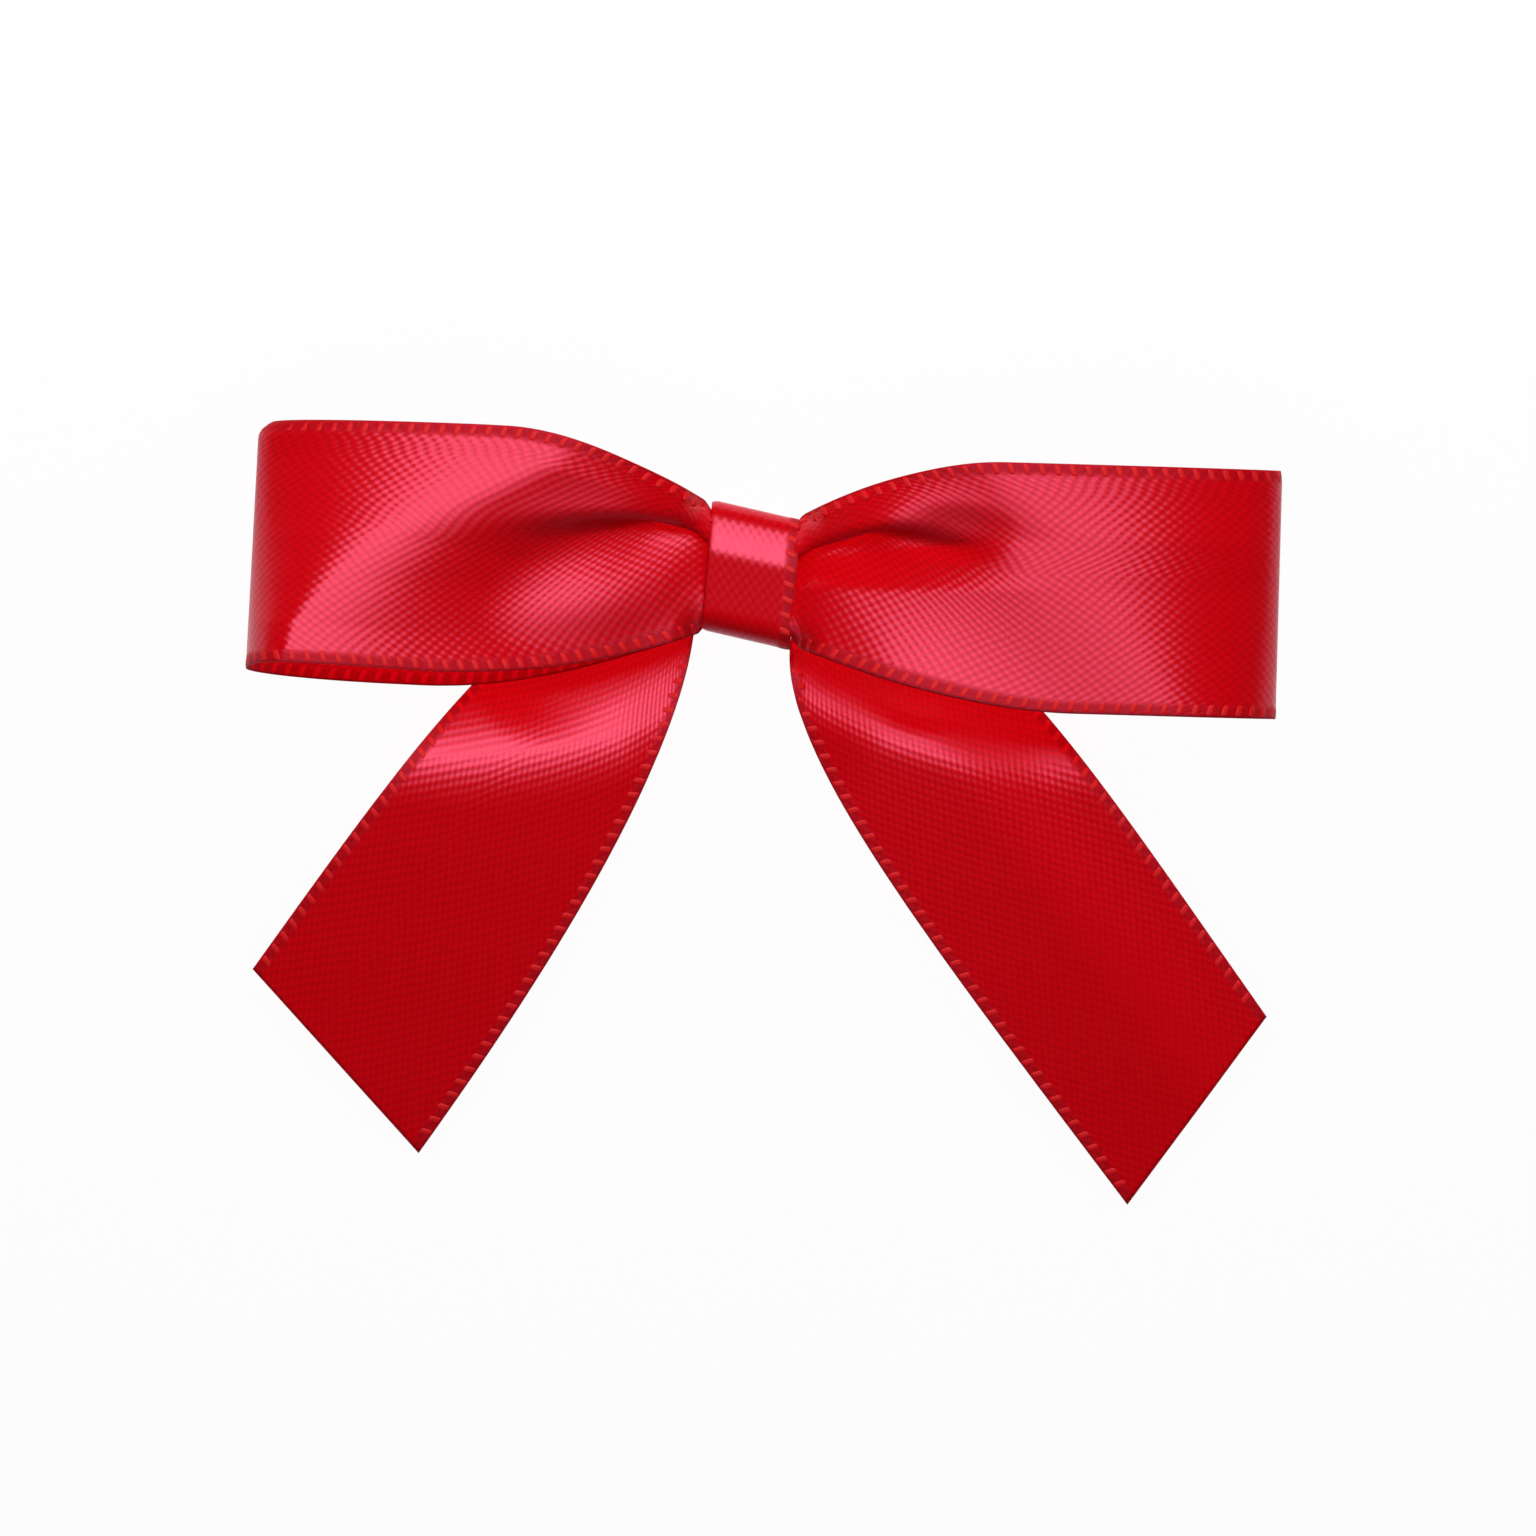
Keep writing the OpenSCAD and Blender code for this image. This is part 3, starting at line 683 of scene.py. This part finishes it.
# Centre band: a strip folded in half lengthwise, wrapped round the knot and lapped behind it
ACROSS_SKEW = math.radians(13)
ALONG_SKEW = math.radians(5)
BAND_ACROSS = (math.cos(ACROSS_SKEW), -math.sin(ACROSS_SKEW))
BAND_ALONG = (math.sin(ALONG_SKEW), math.cos(ALONG_SKEW))
BAND_PLY = 0.08
BAND_FOOT = 1.2
BAND_BEND_STEPS = 12
BAND_ROWS = 111
# Slope of the band's front over its upper half: lengths, degrees and number of points
BAND_SLOPE = [0, 0.6, 2.6, 3.2, 4.2]
BAND_SLOPE_DEG = [0, 11, 17, 45, 90]
BAND_SLOPE_POINTS = 60
# Shares across the unfolded strip, closer together over its fold, and where the fold starts and its run
BAND_SHARES = np.concatenate([np.linspace(0, 0.44, 14), np.linspace(0.47, 0.53, 7), np.linspace(0.56, 1, 14)])
FOLD_FROM = 0.46
FOLD_RUN = 0.08


def quarter(first):
    """Angles that run backwards through a quarter turn."""
    return [math.radians(first - 90 * k / BAND_BEND_STEPS) for k in range(BAND_BEND_STEPS + 1)]


def band_path():
    """Points and outward directions round the band in its own section, from the inner lap to the outer one."""
    half, r = BAND_H / 2 - BAND_T / 2, BAND_CORNER - BAND_T / 2
    front = BAND_FRONT - BAND_T / 2
    inner, outer = PAD_TOP + BAND_T * 1.5 + GLUE_T, PAD_TOP + BAND_T / 2
    points = [(BAND_LAP, inner), (0, inner)]
    for cz, first, bend in ((inner + r, 270, r), (front - BAND_FOOT, 180, BAND_FOOT)):
        points += [(-half + bend + bend * math.cos(a), cz + bend * math.sin(a)) for a in quarter(first)]
    lengths = np.linspace(0, BAND_SLOPE[-1], BAND_SLOPE_POINTS)
    slope = np.radians(np.interp(lengths, BAND_SLOPE, BAND_SLOPE_DEG))
    step = BAND_SLOPE[-1] / (BAND_SLOPE_POINTS - 1)
    shoulder = np.stack([np.cumsum(np.cos(slope)), -np.cumsum(np.sin(slope))], axis=1) * step
    points += [tuple(p) for p in shoulder - (shoulder[-1, 0], 0) + (half, front)]
    points += [(half - r + r * math.cos(a), outer + r + r * math.sin(a)) for a in quarter(0)]
    points += [(0, outer), (-BAND_LAP, outer)]
    points = np.array(points)
    travel = travelled(points)
    stops = np.linspace(0, travel[-1], BAND_ROWS)
    line = np.stack([np.interp(stops, travel, points[:, k]) for k in (0, 1)], axis=1)
    ahead = np.gradient(line, axis=0)
    ahead /= np.linalg.norm(ahead, axis=1)[:, None]
    return line, np.stack([-ahead[:, 1], ahead[:, 0]], axis=1)


def band_rows():
    """Rows across the folded strip, all the way round the knot."""
    line, out = band_path()
    rows = []
    for (y, z), (oy, oz) in zip(line, out):
        row = []
        for share in BAND_SHARES:
            back = abs(2 * share - 1)
            x = -BAND_W / 2 + BAND_W * back
            off = BAND_PLY * math.cos(math.pi * min(1, max(0, (share - FOLD_FROM) / FOLD_RUN)))
            py, pz = y + oy * off, z + oz * off
            row.append((x * BAND_ACROSS[0] + py * BAND_ALONG[0], x * BAND_ACROSS[1] + py * BAND_ALONG[1], pz))
        rows.append(row)
    return np.array(rows)


rows = band_rows()
band = ribbon_piece("centre_band_ribbon", rows, band_satin, shares=BAND_SHARES, width=2 * BAND_W)
rungs = selvedge_piece("centre_band_selvedge", rows, selvedge_red)
for piece in (band, rungs):
    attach(piece, "knot")
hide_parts("centre_band")

# Binding thread, wound round the three waists: its room over them in height and depth, the points of a turn, the
# point where it starts, and the power that squares its turns
THREAD_D = 0.3
THREAD_TURNS = 2.25
THREAD_PITCH = 0.75
THREAD_ROOM_H = 0.375
THREAD_ROOM_Z = 0.3
THREAD_STEPS = 64
THREAD_START = 1.2
THREAD_SQUARE = 0.4


def squared(v):
    """A sine or cosine pressed outwards, so that a round turn gets squarer."""
    return math.copysign(abs(v) ** THREAD_SQUARE, v)


def thread_line():
    """Points along the middle of the wound thread."""
    half_h = WAIST_HALF_H + THREAD_D / 2 + THREAD_ROOM_H
    half_z = 1.5 * WAIST_LAYER + THREAD_D / 2 + THREAD_ROOM_Z
    points = []
    for k in range(round(THREAD_TURNS * THREAD_STEPS) + 1):
        a = 2 * math.pi * (k + THREAD_START) / THREAD_STEPS
        x = THREAD_PITCH * (a / (2 * math.pi) - THREAD_TURNS / 2)
        y = half_h * squared(math.cos(a))
        points.append((*in_band(x, y), KNOT_Z + half_z * squared(math.sin(a))))
    return points


def thread_mesh(line, radius):
    """Mesh of a round thread along points in millimetres."""
    curve = bpy.data.curves.new("thread", "CURVE")
    curve.dimensions = "3D"
    curve.bevel_depth = radius * MM
    curve.bevel_resolution = 2
    curve.use_fill_caps = True
    spline = curve.splines.new("POLY")
    spline.points.add(len(line) - 1)
    for p, co in zip(spline.points, line):
        p.co = (*(np.asarray(co) * MM), 1)
    holder = bpy.data.objects.new("thread", curve)
    mesh = bpy.data.meshes.new_from_object(holder)
    bpy.data.objects.remove(holder)
    bpy.data.curves.remove(curve)
    return mesh


thread = shown("binding_thread_wound", thread_mesh(thread_line(), THREAD_D / 2), thread_red)
thread.data.polygons.foreach_set("use_smooth", [True] * len(thread.data.polygons))
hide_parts("binding_thread")
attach(thread, "knot")

# Foam pad: length, width, rounding of its corners and of its rims, and the rise under which an edge counts as level
PAD_L = 12.0
PAD_W = 6.6
PAD_CORNER = 1.0
PAD_RIM = 0.12
LEVEL = 1e-6


def foam_pad_piece():
    """The foam pad: a block with rounded corners and softened rims."""
    low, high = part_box("foam_pad")
    bm = bmesh.new()
    bmesh.ops.create_cube(bm, size=1)
    bmesh.ops.scale(bm, vec=(PAD_L * MM, PAD_W * MM, high.z - low.z), verts=bm.verts)
    upright = [e for e in bm.edges if abs(e.verts[0].co.z - e.verts[1].co.z) > LEVEL]
    bmesh.ops.bevel(bm, geom=upright, offset=PAD_CORNER * MM, segments=6, profile=0.5, affect="EDGES",
                    material=-1)
    rims = [e for e in bm.edges if abs(e.verts[0].co.z - e.verts[1].co.z) < LEVEL]
    bmesh.ops.bevel(bm, geom=rims, offset=PAD_RIM * MM, segments=3, profile=0.5, affect="EDGES", material=-1)
    bmesh.ops.rotate(bm, cent=(0, 0, 0), matrix=Matrix.Rotation(-BAND_TURN, 3, "Z"), verts=bm.verts)
    bmesh.ops.translate(bm, vec=(0, 0, (low.z + high.z) / 2), verts=bm.verts)
    return shown("foam_pad_cells", mesh_of(bm, "foam_pad_cells"), foam_white)


pad = foam_pad_piece()
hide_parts("foam_pad")
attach(pad, "knot")

for node, material in (("release_liner", liner_paper), ("band_glue", glue_amber)):
    cad = next(o for o in bpy.data.objects if o.get("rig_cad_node") == node)
    cad.data.materials.clear()
    cad.data.materials.append(material)


# Camera straight in front of the bow, framed as the photograph is: its size in pixels, the size of a pixel at the
# bow, and the pixel where the middle of the knot lies
PHOTO_PX = 1536
PX = 0.0645
KNOT_PX = (751.5, 574.7)
VIEW_W = PHOTO_PX * PX
VIEW_X = (PHOTO_PX / 2 - KNOT_PX[0]) * PX
VIEW_Y = (KNOT_PX[1] - PHOTO_PX / 2) * PX
CAMERA_DISTANCE = 1000.0
FRAMED_Z = 7.0
SENSOR_W = 36

cam_data = bpy.data.cameras.new("front_camera")
cam_data.sensor_width = SENSOR_W
cam_data.lens = SENSOR_W * CAMERA_DISTANCE / VIEW_W
camera = bpy.data.objects.new("front_camera", cam_data)
camera.location = (VIEW_X * MM, VIEW_Y * MM, (FRAMED_Z + CAMERA_DISTANCE) * MM)
bpy.context.scene.collection.objects.link(camera)
bpy.context.scene.camera = camera
cam_data.clip_start = 0.01

# Place that the lights point at
LIT_Y = -10.0


def softbox(name, width, depth, distance, lean, power):
    """A rectangular light that leans that many degrees from the front towards the top of the picture."""
    data = bpy.data.lights.new(name, "AREA")
    data.shape = "RECTANGLE"
    data.size = width * MM
    data.size_y = depth * MM
    data.energy = power
    light = bpy.data.objects.new(name, data)
    a = math.radians(lean)
    direction = Vector((0, math.sin(a), math.cos(a)))
    light.location = direction * distance * MM + Vector((0, LIT_Y * MM, 0))
    light.rotation_mode = "QUATERNION"
    light.rotation_quaternion = direction.to_track_quat("Z", "Y")
    bpy.context.scene.collection.objects.link(light)
    return light


# A strip light makes the satin's sheen; a very broad frontal light and one from above fill the cloth's own colour
sheen = softbox("strip_softbox", width=240, depth=160, distance=420, lean=25, power=1.7)
sheen.visible_diffuse = False
front = softbox("front_softbox", width=5000, depth=5000, distance=1500, lean=8, power=28.0)
upper = softbox("upper_softbox", width=400, depth=300, distance=280, lean=40, power=1.2)
upper.data.use_shadow = False
for fill in (front, upper):
    fill.visible_glossy = False
    fill.data.cycles.use_multiple_importance_sampling = False

WHITE = (1, 1, 1, 1)
STUDIO_STRENGTH = 0.03
world = bpy.data.worlds.new("studio")
bpy.context.scene.world = world
world.use_nodes = True
world.node_tree.nodes["Background"].inputs["Color"].default_value = WHITE
world.node_tree.nodes["Background"].inputs["Strength"].default_value = STUDIO_STRENGTH

# Floor: half its size in metres, its depth under the bow in millimetres, its grey, and the share of white that it
# shows to the camera
FLOOR_HALF = 1.5
FLOOR_DROP = 0.05
FLOOR_GREY = (0.8, 0.8, 0.8, 1)
FLOOR_GLOW = 0.9


def floor_white():
    """A pale floor that the camera sees nearly white, while it lights the bow as a grey one."""
    g = Graph("floor_white")
    g.shader.inputs["Base Color"].default_value = FLOOR_GREY
    g.shader.inputs["Roughness"].default_value = 0.9
    glow = g.add("Emission", Color=WHITE)
    seen = g.math("MULTIPLY", g.add("LightPath").outputs["Is Camera Ray"], FLOOR_GLOW)
    blend = g.add("MixShader", _0=seen, _1=g.shader.outputs[0], _2=glow.outputs[0])
    g.set(g.nodes["Material Output"].inputs["Surface"], blend.outputs[0])
    return g.mat


bm = bmesh.new()
bmesh.ops.create_grid(bm, x_segments=1, y_segments=1, size=FLOOR_HALF)
floor = shown("floor", mesh_of(bm, "floor"), floor_white())
floor.location.z = -FLOOR_DROP * MM

bpy.context.scene.view_settings.view_transform = "Standard"
